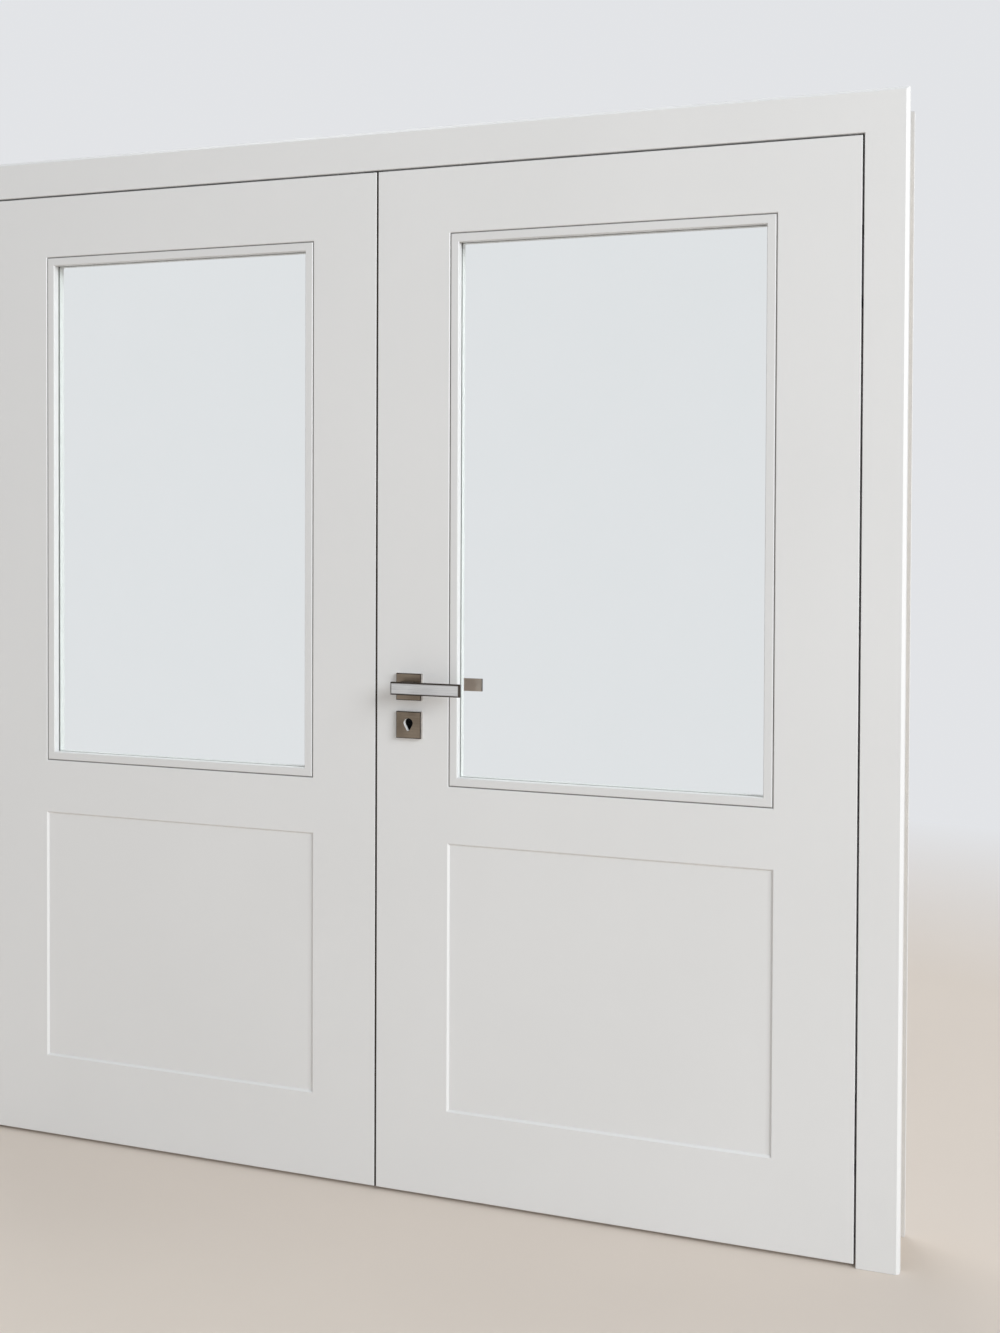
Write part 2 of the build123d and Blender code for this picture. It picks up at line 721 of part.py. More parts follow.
def flush_body_blank():
    """The faceplate with the long box behind it."""
    low, high = flush_plate_span()
    plate = block(
        (PASSIVE_MEETING_EDGE - FOREND_THICKNESS, PASSIVE_MEETING_EDGE),
        around(LEAF_MIDDLE, FOREND_WIDTH),
        (low, high),
    )
    box = block(
        (
            PASSIVE_MEETING_EDGE - FOREND_THICKNESS - FLUSH_BODY_DEPTH,
            PASSIVE_MEETING_EDGE - FOREND_THICKNESS,
        ),
        around(LEAF_MIDDLE, FLUSH_BODY_THICKNESS),
        (low + FLUSH_BODY_WALL, high - FLUSH_BODY_WALL),
    )
    return plate + box


def rod_way(radius):
    """The drilling that the rod runs in, from the box up to the leaf's top edge."""
    low, high = flush_plate_span()
    start = low + FLUSH_PLATE_HEIGHT / 2
    middle = (rod_x(), LEAF_MIDDLE, (start + LEAF_TOP) / 2)
    return rod_along("Z", middle, radius, LEAF_TOP - start)


def thumb_slot():
    """The slot in the faceplate, as long as the thumb piece and its travel."""
    low, high = flush_plate_span()
    bottom = low + FLUSH_PLATE_HEIGHT / 2 - THUMB_HEIGHT / 2
    return block(
        (rod_x(), PASSIVE_MEETING_EDGE),
        around(LEAF_MIDDLE, THUMB_WIDTH + 2 * BOLT_CLEARANCE),
        (bottom - BOLT_CLEARANCE, bottom + THUMB_HEIGHT + FLUSH_THROW + BOLT_CLEARANCE),
    )


def flush_body():
    low, high = flush_plate_span()
    start = low + FLUSH_PLATE_HEIGHT / 2
    bottom = start - THUMB_HEIGHT / 2 - BOLT_CLEARANCE
    hollow_top = start + THUMB_HEIGHT / 2 + FLUSH_THROW + BOLT_CLEARANCE
    hollow = block(
        around(rod_x(), 2 * (FLUSH_ROD_RADIUS + FLUSH_ROD_CLEARANCE)),
        around(LEAF_MIDDLE, 2 * (FLUSH_ROD_RADIUS + FLUSH_ROD_CLEARANCE)),
        (bottom, hollow_top),
    )
    way = rod_way(FLUSH_ROD_RADIUS + FLUSH_ROD_CLEARANCE)
    return flush_body_blank() - [hollow, way, thumb_slot()]


def flush_rod():
    """A round rod with the thumb piece standing out of its lower end."""
    low, high = flush_plate_span()
    start = low + FLUSH_PLATE_HEIGHT / 2 - THUMB_HEIGHT / 2
    top = LEAF_TOP - FLUSH_REST_BACK
    middle = (rod_x(), LEAF_MIDDLE, (start + top) / 2)
    rod = rod_along("Z", middle, FLUSH_ROD_RADIUS, top - start)
    return chamfer(rod.edges().sort_by(Axis.Z)[-1], EDGE_EASE)


def flush_thumb():
    low, high = flush_plate_span()
    bottom = low + FLUSH_PLATE_HEIGHT / 2 - THUMB_HEIGHT / 2
    grip = block(
        (rod_x(), PASSIVE_MEETING_EDGE - THUMB_RECESS),
        around(LEAF_MIDDLE, THUMB_WIDTH),
        (bottom, bottom + THUMB_HEIGHT),
    )
    return grip - flush_rod()


def meeting_seal_plane():
    return Plane(
        origin=(PASSIVE_MEETING_EDGE, MEETING_SEAL_Y, FLOOR_GAP),
        x_dir=(0, 1, 0),
        z_dir=(0, 0, 1),
    )


def meeting_seal_groove():
    groove = Pos(0, SEAL_GROOVE_DEPTH / 2) * Rectangle(SEAL_GROOVE_WIDTH, SEAL_GROOVE_DEPTH)
    return extrude(meeting_seal_plane() * groove, LEAF_HEIGHT)


def make_passive_leaf():
    slab = slab_blank(-1)
    cuts = [strike_blank(), meeting_seal_groove()]
    cuts += strike_holes()
    for piece in (flush_body_blank(), rod_way(FLUSH_ROD_RADIUS + FLUSH_ROD_CLEARANCE)):
        cuts += [piece, turned_over(piece)]
    save("passive_slab", slab - cuts)
    make_glazing("passive", -1)
    save("strike_plate", strike_blank() - strike_holes() - [meeting_seal_groove()])
    meeting_seal = meeting_seal_plane() * seal_profile(MEETING_GAP - MEETING_SEAL_CLEARANCE)
    save("meeting_seal", extrude(meeting_seal, LEAF_HEIGHT))
    for name, shape in (
        ("flush_bolt_body", flush_body() - meeting_seal_groove()),
        ("flush_bolt_rod", flush_rod()),
        ("flush_bolt_thumb", flush_thumb()),
    ):
        save(f"{name}_top", shape)
        save(f"{name}_bottom", turned_over(shape))


os.makedirs("parts", exist_ok=True)
make_frame()
make_hinges()
make_active_leaf()
make_passive_leaf()
make_lock()
make_handle()
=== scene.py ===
import json
import math

import bmesh
import bpy
from mathutils import Matrix, Vector


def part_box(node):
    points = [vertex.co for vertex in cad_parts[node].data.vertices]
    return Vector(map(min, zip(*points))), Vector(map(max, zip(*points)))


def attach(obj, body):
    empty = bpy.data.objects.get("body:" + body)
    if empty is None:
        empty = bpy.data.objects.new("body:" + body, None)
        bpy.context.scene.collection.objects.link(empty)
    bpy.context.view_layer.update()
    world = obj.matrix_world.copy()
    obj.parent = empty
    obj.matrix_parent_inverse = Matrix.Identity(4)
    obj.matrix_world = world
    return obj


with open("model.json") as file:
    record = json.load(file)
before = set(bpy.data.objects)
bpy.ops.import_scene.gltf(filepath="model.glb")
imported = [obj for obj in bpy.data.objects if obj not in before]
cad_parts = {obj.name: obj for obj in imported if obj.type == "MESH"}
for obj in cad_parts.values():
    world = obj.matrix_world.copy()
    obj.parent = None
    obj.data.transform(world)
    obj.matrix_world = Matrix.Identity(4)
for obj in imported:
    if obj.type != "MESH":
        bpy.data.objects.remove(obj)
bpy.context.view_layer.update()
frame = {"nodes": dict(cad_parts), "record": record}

# Camera: where the photograph was taken from, in metres and radians
CAMERA_PLACE = (1.36890, -3.00028, 1.40089)
CAMERA_YAW = -0.352957
CAMERA_PITCH = -0.0190458
CAMERA_ROLL = 0.00415314
CAMERA_LENS = 43.13
CAMERA_SENSOR = 36.0
CAMERA_SHIFT_Y = -0.0905
CAMERA_CLIP_END = 100.0

# Light: each lamp is (name, place, width, power, colour), and shines at the middle of the doorway
AMBIENT_LEVEL = 0.456
AMBIENT_COLOUR = (0.958, 0.980, 1.0, 1.0)
BACKGROUND = (0.765, 0.777, 0.80)
LAMP_TARGET = (0.0, 0.0, 1.1)
LAMPS = (
    ("key", (9.16, -5.44, 5.2), 6.0, 905.0, (0.928, 0.964, 1.0)),
    ("back", (-3.5, 5.0, 8.5), 6.0, 260.0, (1.0, 1.0, 1.0)),
)

# Floor
FLOOR_HALF = 16.0
FLOOR_DROP = 0.0005
FLOOR_COLOUR = (0.745, 0.664, 0.588)
FLOOR_LIGHT = tuple(1.03 * tone for tone in FLOOR_COLOUR)
FLOOR_ROUGHNESS = 0.75
FLOOR_FADE_START = 2.2
FLOOR_FADE_END = 4.6

# Sizes of the fittings, in metres; their places are worked out from the frame
SCREW_INSET = 0.008
HINGE_SCREW_SPACING = 0.136
HINGE_SCREW_RADIUS = 0.0042
PLATE_SCREW_RADIUS = 0.0036
STRIKE_SCREW_INSET = 0.0065
GRUB_RADIUS = 0.0022
GRUB_DROP = 0.011
GRUB_REACH = 0.02475
KEYHOLE_REACH = 0.017
JOINT_REACH = 0.0015
LEVER_BORDER = 0.0042
LIP_FRONT = 0.0009
LIP_BACK = 0.0019
LIP_CLEARANCE = 0.001
LIP_STEPS = 8


# Nodes


# A surface faces a way where more than this share of its normal points that way
FLAT = 0.9
BEVELLED = 0.3

# The share of an outline's reach that has its full strength
OUTLINE_CORE = 0.3

# A Mix node's sockets for colours, which share their names with its other sockets
MIX_COLOURS = (6, 7)
MIX_RESULT = 2


class Nodes:
    """A material's node tree, with a short call for each kind of node that the materials use."""

    def __init__(self, name):
        self.material = bpy.data.materials.new(name)
        self.material.use_nodes = True
        self.tree = self.material.node_tree
        self.shader = self.tree.nodes["Principled BSDF"]
        self.texture = self.node("ShaderNodeTexCoord")
        self.place = self.texture.outputs["Object"]

    def node(self, kind, **values):
        """Adds a node with the given settings."""
        made = self.tree.nodes.new(kind)
        for key, value in values.items():
            setattr(made, key, value)
        return made

    def link(self, source, target):
        self.tree.links.new(source, target)

    def stretched(self, scale):
        """The object's coordinates, in metres, times a scale along each axis."""
        mapping = self.node("ShaderNodeMapping")
        mapping.inputs["Scale"].default_value = scale
        self.link(self.place, mapping.inputs["Vector"])
        return mapping.outputs["Vector"]

    def noise(self, scale, stretch=(1, 1, 1), detail=3.0, rough=0.5, distortion=0.0):
        """Noise with about `scale` bumps in a metre, along each axis times its stretch."""
        made = self.node("ShaderNodeTexNoise")
        made.inputs["Scale"].default_value = scale
        made.inputs["Detail"].default_value = detail
        made.inputs["Roughness"].default_value = rough
        made.inputs["Distortion"].default_value = distortion
        self.link(self.stretched(stretch), made.inputs["Vector"])
        return made.outputs["Fac"]

    def remap(self, source, low, high, start=0.3, end=0.7):
        """The source's range from start to end, spread over low to high."""
        made = self.node("ShaderNodeMapRange")
        made.inputs["From Min"].default_value = start
        made.inputs["From Max"].default_value = end
        made.inputs["To Min"].default_value = low
        made.inputs["To Max"].default_value = high
        self.link(source, made.inputs["Value"])
        return made.outputs["Result"]

    def maths(self, operation, first, second=0.0):
        """The operation's result. Each value is a number or another node's output."""
        made = self.node("ShaderNodeMath", operation=operation)
        for socket, value in zip(made.inputs, (first, second)):
            if isinstance(value, float):
                socket.default_value = value
            else:
                self.link(value, socket)
        return made.outputs["Value"]

    def mix(self, factor, first, second):
        """A colour between first and second. Each is a colour or another node's output."""
        made = self.node("ShaderNodeMix", data_type="RGBA")
        self.link(factor, made.inputs["Factor"])
        for number, value in zip(MIX_COLOURS, (first, second)):
            socket = made.inputs[number]
            if isinstance(value, tuple):
                socket.default_value = (*value, 1.0)
            else:
                self.link(value, socket)
        return made.outputs[MIX_RESULT]

    def facing_y(self, limit):
        """1 where the surface faces along Y, either way, by more than the limit."""
        split = self.node("ShaderNodeSeparateXYZ")
        self.link(self.texture.outputs["Normal"], split.inputs["Vector"])
        size = self.maths("ABSOLUTE", split.outputs["Y"])
        return self.maths("GREATER_THAN", size, limit)

    def facing_way(self, way):
        """1 where the surface is flat and faces the given way."""
        dot = self.node("ShaderNodeVectorMath", operation="DOT_PRODUCT")
        self.link(self.texture.outputs["Normal"], dot.inputs[0])
        dot.inputs[1].default_value = way
        return self.maths("GREATER_THAN", dot.outputs["Value"], FLAT)

    def near_axis(self, point, radius):
        """1 within a radius of an axis along Y, through the given point."""
        offset = self.node("ShaderNodeVectorMath", operation="SUBTRACT")
        self.link(self.place, offset.inputs[0])
        offset.inputs[1].default_value = (point.x, 0.0, point.z)
        flat = self.node("ShaderNodeVectorMath", operation="MULTIPLY")
        self.link(offset.outputs["Vector"], flat.inputs[0])
        flat.inputs[1].default_value = (1.0, 0.0, 1.0)
        length = self.node("ShaderNodeVectorMath", operation="LENGTH")
        self.link(flat.outputs["Vector"], length.inputs[0])
        return self.maths("LESS_THAN", length.outputs["Value"], radius)

    def near_outline(self, low, high, reach):
        """1 on the outline of a rectangle in X and Z, falling to 0 at a distance from it."""
        middle = (low + high) / 2
        half = (high - low) / 2
        offset = self.node("ShaderNodeVectorMath", operation="SUBTRACT")
        self.link(self.place, offset.inputs[0])
        offset.inputs[1].default_value = (middle.x, 0.0, middle.z)
        folded = self.node("ShaderNodeVectorMath", operation="ABSOLUTE")
        self.link(offset.outputs["Vector"], folded.inputs[0])
        outside = self.node("ShaderNodeVectorMath", operation="SUBTRACT")
        self.link(folded.outputs["Vector"], outside.inputs[0])
        outside.inputs[1].default_value = (half.x, 0.0, half.z)
        split = self.node("ShaderNodeSeparateXYZ")
        self.link(outside.outputs["Vector"], split.inputs["Vector"])
        signed = self.maths("MAXIMUM", split.outputs["X"], split.outputs["Z"])
        distance = self.maths("ABSOLUTE", signed)
        return self.remap(distance, 1.0, 0.0, OUTLINE_CORE * reach, reach)

    def bump(self, heights):
        """Each height is (source, distance in metres): the bumps are laid one on the other."""
        normal = None
        for source, distance in heights:
            made = self.node("ShaderNodeBump")
            made.inputs["Strength"].default_value = 1.0
            made.inputs["Distance"].default_value = distance
            self.link(source, made.inputs["Height"])
            if normal is not None:
                self.link(normal, made.inputs["Normal"])
            normal = made.outputs["Normal"]
        self.link(normal, self.shader.inputs["Normal"])

    def set(self, socket, value):
        """Gives a socket of the shader a number, a colour or another node's output."""
        target = self.shader.inputs[socket]
        if hasattr(value, "is_output"):
            self.link(value, target)
        elif isinstance(value, tuple):
            target.default_value = (*value, 1.0)
        else:
            target.default_value = value


# Materials


PAINT = ((0.792, 0.792, 0.785), (0.812, 0.812, 0.806))
# The beads' paint is a little darker than the slab's: painted shade for their slant and their
# recess
SHADED_BEAD_PAINT = ((0.752, 0.752, 0.746), (0.772, 0.772, 0.766))
PRIMER = ((0.66, 0.655, 0.64), (0.73, 0.725, 0.71))
# Painted shade at the bottom of the groove round the beads, partly an open joint
JOINT_SHADE = (0.19, 0.185, 0.18)
RAW_BOARD = ((0.50, 0.42, 0.32), (0.60, 0.52, 0.42))
# Black painted into the keyhole as painted shade, for the dark deep inside it
KEYHOLE_PAINTED_SHADE = (0.006, 0.006, 0.006)
BARE_BOARD_MATT = 0.4
LINE_SHARE = 0.6
WORN_SHADE = 0.75


def box_middle(node):
    """The middle of a node's box."""
    low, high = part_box(node)
    return (low + high) / 2


def near_keyhole(nodes):
    """1 in the keyhole and close round it, through the rosettes, the leaf and the lock."""
    return nodes.near_axis(box_middle("key_rosette_front"), KEYHOLE_REACH)


def lacquer(name, hidden_side=None, board=PRIMER, keyhole=False, joint=None, tones=PAINT):
    """Satin white lacquer. A side that faces the wall, where one is given, shows the board, and
    the keyhole through a leaf is painted black inside, as painted shade. Round a leaf's beads,
    given as the beads' box, a dark line of painted shade, partly an open joint, lies at the
    bottom of their groove."""
    nodes = Nodes(name)
    cloud = nodes.remap(nodes.noise(2.2, detail=4.0), 0.0, 1.0)
    paint = nodes.mix(cloud, *tones)
    sheen = nodes.remap(nodes.noise(60.0, detail=4.0), 0.30, 0.42)
    peel = nodes.noise(420.0, detail=1.5)
    wave = nodes.noise(28.0, detail=2.0)
    if hidden_side is not None:
        hidden = nodes.facing_way(hidden_side)
        fibre = nodes.noise(90.0, stretch=(1.0, 1.0, 0.25), detail=6.0, rough=0.7)
        paint = nodes.mix(hidden, paint, nodes.mix(nodes.remap(fibre, 0.0, 1.0), *board))
        matt = nodes.maths("MULTIPLY", hidden, BARE_BOARD_MATT)
        sheen = nodes.maths("ADD", sheen, matt)
    # Painted shade: a dark line along the bottom of the bead groove, partly an open joint and
    # partly the shade deep in the groove
    if joint is not None:
        paint = nodes.mix(nodes.near_outline(*joint, JOINT_REACH), paint, JOINT_SHADE)
    if keyhole:
        # Painted shade: the keyhole is painted black inside, where the deep hole lies in shade
        hole = near_keyhole(nodes)
        paint = nodes.mix(hole, paint, KEYHOLE_PAINTED_SHADE)
        sheen = nodes.maths("MAXIMUM", sheen, hole)
    nodes.set("Base Color", paint)
    nodes.set("Roughness", sheen)
    nodes.set("Specular IOR Level", 0.5)
    nodes.bump([(wave, 0.00012), (peel, 0.00003)])
    return nodes.material


def rubber(name, dark, light):
    """Matt rubber with a fine grain and a faint bloom."""
    nodes = Nodes(name)
    bloom = nodes.remap(nodes.noise(35.0, detail=5.0, rough=0.6), 0.0, 1.0)
    nodes.set("Base Color", nodes.mix(bloom, dark, light))
    grain = nodes.noise(1500.0, detail=2.0)
    nodes.set("Roughness", nodes.remap(grain, 0.62, 0.85))
    nodes.set("Specular IOR Level", 0.35)
    nodes.bump([(grain, 0.00003)])
    return nodes.material


def float_glass(name):
    """Clear glass, faintly green, through which the lamps shine as through a window."""
    nodes = Nodes(name)
    smear = nodes.noise(9.0, detail=5.0, rough=0.6)
    tint = nodes.mix(nodes.remap(smear, 0.0, 1.0), (0.955, 0.975, 0.965), (0.965, 0.982, 0.974))
    nodes.set("Base Color", tint)
    nodes.set("Roughness", nodes.remap(smear, 0.0, 0.012))
    nodes.set("Transmission Weight", 1.0)
    nodes.set("IOR", 1.5)
    clear = nodes.node("ShaderNodeBsdfTransparent")
    clear.inputs["Color"].default_value = (0.90, 0.93, 0.915, 1.0)
    path = nodes.node("ShaderNodeLightPath")
    either = nodes.node("ShaderNodeMixShader")
    nodes.link(path.outputs["Is Shadow Ray"], either.inputs["Fac"])
    nodes.link(nodes.shader.outputs["BSDF"], either.inputs[1])
    nodes.link(clear.outputs["BSDF"], either.inputs[2])
    output = nodes.tree.nodes["Material Output"]
    nodes.link(either.outputs["Shader"], output.inputs["Surface"])
    return nodes.material


def brushed(name, dark, light, lines, around=None, patch=14.0, keyhole=False, bar=None,
            back_way=None):
    """Brushed metal, its lines stretched by the given scale. Where around is a pair of colours,
    the bevels round the faces along Y have the first, and the sides have the second: painted
    shade on the bevels, and on the sides a painted tone for how the light falls on them. The
    keyhole has a pale liner. A lever's bar, given as its box, has a dark border of painted shade,
    and its back, towards the leaf, is a darker brown."""
    nodes = Nodes(name)
    line = nodes.noise(40.0, stretch=lines, detail=4.0, rough=0.65)
    soft = nodes.noise(patch, detail=2.0)
    fine = nodes.maths("MULTIPLY", line, LINE_SHARE)
    broad = nodes.maths("MULTIPLY", soft, 1 - LINE_SHARE)
    blend = nodes.maths("ADD", fine, broad)
    colour = nodes.mix(nodes.remap(blend, 0.0, 1.0, 0.38, 0.62), dark, light)
    # Painted light and shade: the bevels take the first colour as painted shade, and the sides take
    # the second as a painted tone for how the light falls on them, each varied at random
    if around is not None:
        worn = nodes.remap(nodes.noise(160.0, detail=3.0), 0.0, 1.0)
        bevel, side = [
            nodes.mix(worn, tuple(WORN_SHADE * c for c in tone), tone) for tone in around]
        border = nodes.mix(nodes.facing_y(BEVELLED), side, bevel)
        if bar is not None:
            # Painted shade: a dark border round the front face of the lever's bar
            colour = nodes.mix(nodes.near_outline(*bar, LEVER_BORDER), colour, bevel)
            colour = nodes.mix(nodes.facing_way(back_way), colour, LEVER_BACK)
        colour = nodes.mix(nodes.facing_y(FLAT), border, colour)
    nodes.set("Metallic", 1.0)
    if keyhole:
        flat = nodes.facing_y(BEVELLED)
        liner = nodes.maths("SUBTRACT", near_keyhole(nodes), flat)
        liner = nodes.maths("MAXIMUM", liner)
        colour = nodes.mix(liner, colour, PALE_LINER)
        nodes.set("Metallic", nodes.maths("SUBTRACT", 1.0, liner))
    nodes.set("Base Color", colour)
    nodes.set("Roughness", nodes.remap(line, 0.26, 0.40))
    nodes.bump([(line, 0.00002)])
    return nodes.material


def die_cast(name, dark, light, rough=(0.34, 0.50), grain=900.0, keyhole=False):
    """Plated die casting: a fine, even grain with soft clouds. The keyhole is painted black inside,
    as painted shade.
    """
    nodes = Nodes(name)
    cloud = nodes.remap(nodes.noise(45.0, detail=5.0, rough=0.6), 0.0, 1.0)
    speck = nodes.noise(grain, detail=3.0)
    colour = nodes.mix(cloud, dark, light)
    sheen = nodes.remap(speck, *rough)
    nodes.set("Metallic", 1.0)
    if keyhole:
        # Painted shade: the keyhole is painted black inside, where the deep hole lies in shade
        hole = near_keyhole(nodes)
        colour = nodes.mix(hole, colour, KEYHOLE_PAINTED_SHADE)
        sheen = nodes.maths("MAXIMUM", sheen, hole)
        nodes.set("Metallic", nodes.maths("SUBTRACT", 1.0, hole))
    nodes.set("Base Color", colour)
    nodes.set("Roughness", sheen)
    nodes.bump([(speck, 0.00002)])
    return nodes.material


def softwood(name):
    """Planed softwood with its grain along Z."""
    nodes = Nodes(name)
    ring = nodes.noise(30.0, stretch=(1.0, 1.0, 0.06), detail=5.0, rough=0.6, distortion=0.6)
    fibre = nodes.noise(500.0, stretch=(1.0, 1.0, 0.03), detail=3.0)
    wood = nodes.mix(nodes.remap(ring, 0.0, 1.0), (0.50, 0.33, 0.18), (0.68, 0.50, 0.31))
    pale = nodes.mix(nodes.remap(fibre, 0.0, 0.35), wood, (0.75, 0.60, 0.42))
    nodes.set("Base Color", pale)
    nodes.set("Roughness", nodes.remap(fibre, 0.55, 0.75))
    nodes.bump([(ring, 0.0001), (fibre, 0.00004)])
    return nodes.material


BRONZE_DARK = (0.184, 0.145, 0.108)
BRONZE_LIGHT = (0.292, 0.236, 0.178)
# Painted shade for the bevels, and a painted highlight for the rosettes' sides, which catch the
# light
PAINTED_EDGE_SHADE = (0.050, 0.038, 0.030)
PAINTED_SIDE_LIGHT = (0.62, 0.585, 0.55)
PALE_LINER = (0.86, 0.86, 0.85)
LEVER_BACK = (0.50, 0.42, 0.365)
LEVER_DARK = (0.56, 0.555, 0.545)
LEVER_LIGHT = (0.78, 0.775, 0.76)
ALONG_X = (0.5, 30, 30)
ALONG_Z = (30, 30, 0.5)
SPANGLED_ZINC = ((0.42, 0.43, 0.45), (0.56, 0.57, 0.58), (0.30, 0.45), 300.0)

SCREW_STEEL = die_cast("screw_steel", (0.42, 0.42, 0.42), (0.55, 0.55, 0.55), (0.28, 0.40))
MATERIALS = {
    "white_lacquer": lacquer("white_lacquer"),
    "dark_seal": rubber("dark_seal", (0.021, 0.015, 0.012), (0.040, 0.031, 0.026)),
    "grey_gasket": rubber("grey_gasket", (0.46, 0.455, 0.445), (0.56, 0.555, 0.545)),
    "clear_glass": float_glass("clear_glass"),
    # The rosettes' bevels are painted shade, and their sides a painted highlight
    "bronze_steel": brushed(
        "bronze_steel", BRONZE_DARK, BRONZE_LIGHT, ALONG_X,
        around=(PAINTED_EDGE_SHADE, PAINTED_SIDE_LIGHT), patch=30.0, keyhole=True),
    "plate_steel": brushed("plate_steel", (0.46, 0.46, 0.46), (0.62, 0.62, 0.615), ALONG_Z),
    "hinge_zinc": die_cast("hinge_zinc", (0.46, 0.46, 0.47), (0.58, 0.58, 0.585)),
    "zinc_plate": die_cast("zinc_plate", *SPANGLED_ZINC),
    "receiver_timber": softwood("receiver_timber"),
}


def lever_steel(node, back_way):
    """Brushed steel for a lever whose back, towards the leaf, faces the given way. Its bevels, its
    sides and a border round its front face are painted dark, as painted shade.
    """
    return brushed(
        f"{node}_steel", LEVER_DARK, LEVER_LIGHT, ALONG_X,
        around=(PAINTED_EDGE_SHADE, PAINTED_EDGE_SHADE), bar=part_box(node), back_way=back_way)


def own_materials():
    """The materials of the nodes that differ from the rest of their slot."""
    own = {"lock_case": die_cast("keyed_zinc", *SPANGLED_ZINC, keyhole=True)}
    for node, back_way in (("lever_front", (0, 1, 0)), ("lever_back", (0, -1, 0))):
        own[node] = lever_steel(node, back_way)
    for leaf in ("active", "passive"):
        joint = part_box(f"{leaf}_bead_front")
        keyed = leaf == "active"
        own[f"{leaf}_slab"] = lacquer(f"lacquer_{leaf}_slab", keyhole=keyed, joint=joint)
        # The beads' lacquer is a little darker, as painted shade
        beads = lacquer(f"lacquer_{leaf}_beads", joint=joint, tones=SHADED_BEAD_PAINT)
        own.update({f"{leaf}_bead_{face}": beads for face in ("front", "back")})
    ways = {"casing_front": (0, 1, 0), "casing_back": (0, -1, 0)}
    for kind, way in ways.items():
        casing = lacquer(f"lacquer_{kind}", way)
        own.update({f"{kind}_{place}": casing for place in ("left", "right", "head")})
    for place, way in (("left", (-1, 0, 0)), ("right", (1, 0, 0)), ("head", (0, 0, 1))):
        own[f"lining_{place}"] = lacquer(f"lacquer_lining_{place}", way, RAW_BOARD)
    return own


def dress_nodes():
    """Gives every node of the model its own material, or else the material of its slot."""
    own = own_materials()
    for part in frame["record"]["subparts"]:
        name = part["node"]
        material = own[name] if name in own else MATERIALS[part["material_slot"]]
        node = frame["nodes"][name]
        if not node.material_slots:
            node.data.materials.append(material)
        for place in node.material_slots:
            place.material = material


# Screws


# All sizes of a head are shares of its radius. Each of its rings, from the rim under the
# plate's face to the crown, is (radius, height).
SCREW_RINGS = ((1.0, -0.3), (1.0, 0.035), (0.92, 0.084), (0.72, 0.14))
SCREW_SIDES = 32
RECESS_FLOOR = 0.02
RECESS_TAPER = 0.8
CROSS_REACH = 0.56
CROSS_ARM = 0.13
SOCKET_REACH = 0.55

# How far the screws of a piece are turned, in radians
FIRST_TURN = 0.5
NEXT_TURN = 1.1


def add_ring(mesh, frame_of, radius, height):
    """A ring of points round the screw's axis."""
    ring = []
    for i in range(SCREW_SIDES):
        angle = 2 * math.pi * (i + 0.5) / SCREW_SIDES
        point = Vector((radius * math.cos(angle), radius * math.sin(angle), height))
        ring.append(mesh.verts.new(frame_of @ point))
    return ring


def join_rings(mesh, outer, inner):
    """A band of faces between two rings with as many points."""
    count = len(outer)
    for i in range(count):
        j = (i + 1) % count
        mesh.faces.new((outer[i], outer[j], inner[j], inner[i]))


def cross_outline(radius):
    """The corners of a cross recess, anticlockwise from the arm at +X."""
    reach = CROSS_REACH * radius
    arm = CROSS_ARM * radius
    corners = []
    for turn in range(4):
        angle = turn * math.pi / 2
        spin = Matrix.Rotation(angle, 2)
        for x, y in ((reach, -arm), (reach, arm), (arm, arm)):
            corners.append(spin @ Vector((x, y)))
    return corners


def hexagon_outline(radius):
    """The corners of the socket in a grub screw."""
    corner = Vector((SOCKET_REACH * radius, 0))
    return [Matrix.Rotation(k * math.pi / 3, 2) @ corner for k in range(6)]


def add_screw(mesh, frame_of, radius, outline_of):
    """A raised countersunk head with a recess, on the plane z = 0 of its own frame."""
    rings = [add_ring(mesh, frame_of, radius * r, radius * h) for r, h in SCREW_RINGS]
    for outer, inner in zip(rings, rings[1:]):
        join_rings(mesh, outer, inner)
    mesh.faces.new(list(reversed(rings[0])))
    crown = rings[-1]
    outline = outline_of(radius)
    rise = SCREW_RINGS[-1][1] * radius
    top = [mesh.verts.new(frame_of @ Vector((*p, rise))) for p in outline]
    depth = RECESS_FLOOR * radius
    floor = [mesh.verts.new(frame_of @ Vector((*(RECESS_TAPER * p), depth))) for p in outline]
    edges = [mesh.edges.new((top[i], top[(i + 1) % len(top)])) for i in range(len(top))]
    for i in range(SCREW_SIDES):
        found = mesh.edges.get((crown[i], crown[(i + 1) % SCREW_SIDES]))
        edges.append(found)
    bmesh.ops.triangle_fill(mesh, edges=edges, use_beauty=True, use_dissolve=False)
    for i in range(len(top)):
        j = (i + 1) % len(top)
        mesh.faces.new((top[j], top[i], floor[i], floor[j]))
    mesh.faces.new(floor)


def make_piece(name, mesh, material):
    """A piece of the given material, made from the mesh."""
    bmesh.ops.recalc_face_normals(mesh, faces=mesh.faces)
    data = bpy.data.meshes.new(name)
    mesh.to_mesh(data)
    mesh.free()
    data.materials.append(material)
    piece = bpy.data.objects.new(name, data)
    bpy.context.scene.collection.objects.link(piece)
    return piece


def make_screws(name, places, facing, radius, body, outline_of=cross_outline):
    """One piece with a screw at each place, all facing the same way."""
    turn = Vector(facing).to_track_quat("Z", "Y").to_matrix().to_4x4()
    mesh = bmesh.new()
    for number, place in enumerate(places):
        spin = Matrix.Rotation(FIRST_TURN + NEXT_TURN * number, 4, "Z")
        add_screw(mesh, Matrix.Translation(place) @ turn @ spin, radius, outline_of)
    piece = make_piece(name, mesh, SCREW_STEEL)
    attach(piece, body)


def plate_ends(node):
    """The heights of the screws at both ends of an upright plate."""
    low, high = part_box(node)
    return low.z + SCREW_INSET, high.z - SCREW_INSET


